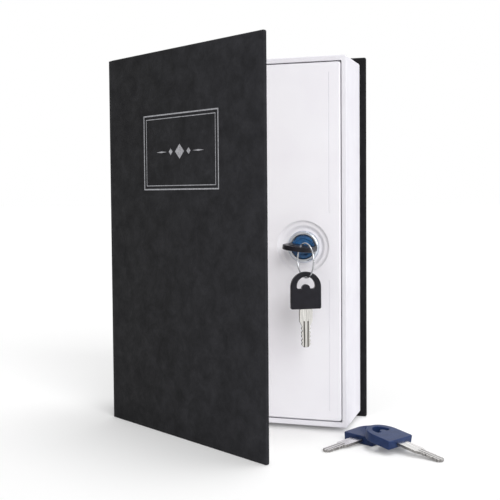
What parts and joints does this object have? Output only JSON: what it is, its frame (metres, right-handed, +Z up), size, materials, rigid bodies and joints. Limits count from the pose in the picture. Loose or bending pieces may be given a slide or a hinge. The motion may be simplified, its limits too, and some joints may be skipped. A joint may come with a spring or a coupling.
{
  "type": "book diversion safe",
  "caption": "Diversion safe shaped like a hardback book: a cloth cover opens on a white page block that holds a locking steel box with a hinged lid and a cam lock.",
  "frame": {"origin": "middle of the back board's bottom edge, on the table", "axes": "+Z up along the book's height, front cover towards -Y, spine at -X, fore edge at +X"},
  "size_m": [0.2238, 0.1326, 0.24],
  "materials": {
    "cloth": "textured book cloth over board",
    "white_moulding": "satin moulded page block",
    "white_enamel": "powder coated steel sheet",
    "chrome": "polished plating",
    "blue_enamel": "blue lacquered plug face",
    "zinc_steel": "zinc plated",
    "brass": "stamped sheet",
    "nickel": "nickel plated key blank",
    "wire": "bright drawn wire",
    "black_plastic": "moulded key head",
    "blue_plastic": "moulded key head"
  },
  "bodies": {
    "box": {"back_cover": "cloth", "page_block": "white_moulding", "steel_box": "white_enamel", "upper_pivot_pin": "zinc_steel", "lower_pivot_pin": "zinc_steel", "catch": "zinc_steel"},
    "spine": {"back_joint": "cloth", "spine_board": "cloth", "front_joint": "cloth"},
    "front_cover": {"front_cover": "cloth"},
    "lid": {"lid": "white_enamel", "lock_barrel": "chrome", "lock_washer": "zinc_steel", "lock_nut": "zinc_steel"},
    "lock_plug": {"lock_plug": "blue_enamel", "lock_wafer_1": "brass", "lock_wafer_2": "brass", "lock_wafer_3": "brass", "lock_wafer_4": "brass", "lock_wafer_5": "brass", "lock_cam": "zinc_steel", "cam_screw": "zinc_steel"},
    "lock_key": {"lock_key_blade": "nickel", "lock_key_head": "black_plastic"},
    "key_ring": {"key_ring": "wire"},
    "spare_key": {"spare_key_blade": "nickel", "spare_key_head": "black_plastic"},
    "left_blue_key": {"left_blue_key_blade": "nickel", "left_blue_key_head": "blue_plastic"},
    "right_blue_key": {"right_blue_key_blade": "nickel", "right_blue_key_head": "blue_plastic"}
  },
  "joints": [
    {"name": "lid_hinge", "type": "hinge", "parent": "box", "child": "lid", "pos_m": [-0.0662, -0.0442, 0.1195], "axis": [0, 0, -1], "range_deg": [0, 100]},
    {"name": "spine_swing", "type": "hinge", "parent": "box", "child": "spine", "pos_m": [-0.0762, 0, 0.12], "axis": [0, 0, -1], "range_deg": [-10.5, 79.5]},
    {"name": "cover_hinge", "type": "hinge", "parent": "spine", "child": "front_cover", "pos_m": [-0.08529, -0.04906, 0.12], "axis": [0, 0, 1], "range_deg": [-148, 13.5]},
    {"name": "lock_turn", "type": "hinge", "parent": "lid", "child": "lock_plug", "pos_m": [0.0455, -0.0471, 0.1168], "axis": [0, 1, 0], "range_deg": [-7, 83]},
    {"name": "key_pull", "type": "slide", "parent": "lock_plug", "child": "lock_key", "axis": [0, 1, 0], "range_m": [-0.023, 0]},
    {"name": "ring_swing", "type": "hinge", "parent": "lock_key", "child": "key_ring", "pos_m": [0.05261, -0.07061, 0.10989], "axis": [0.7547, 0.6561, 0], "range_deg": [-15, 15]},
    {"name": "spare_key_swing", "type": "hinge", "parent": "key_ring", "child": "spare_key", "pos_m": [0.05261, -0.07061, 0.09939], "axis": [-0.5, 0.866, 0], "range_deg": [-20, 20]},
    {"name": "left_blue_key_lift", "type": "slide", "parent": "box", "child": "left_blue_key", "axis": [0, 0, 1], "range_m": [0, 0.05]},
    {"name": "right_blue_key_lift", "type": "slide", "parent": "left_blue_key", "child": "right_blue_key", "axis": [0, 0, 1], "range_m": [0, 0.05]}
  ],
  "couplings": [
    {"joint": "spine_swing", "follows": "lid_hinge", "ratio": 0.79}
  ]
}
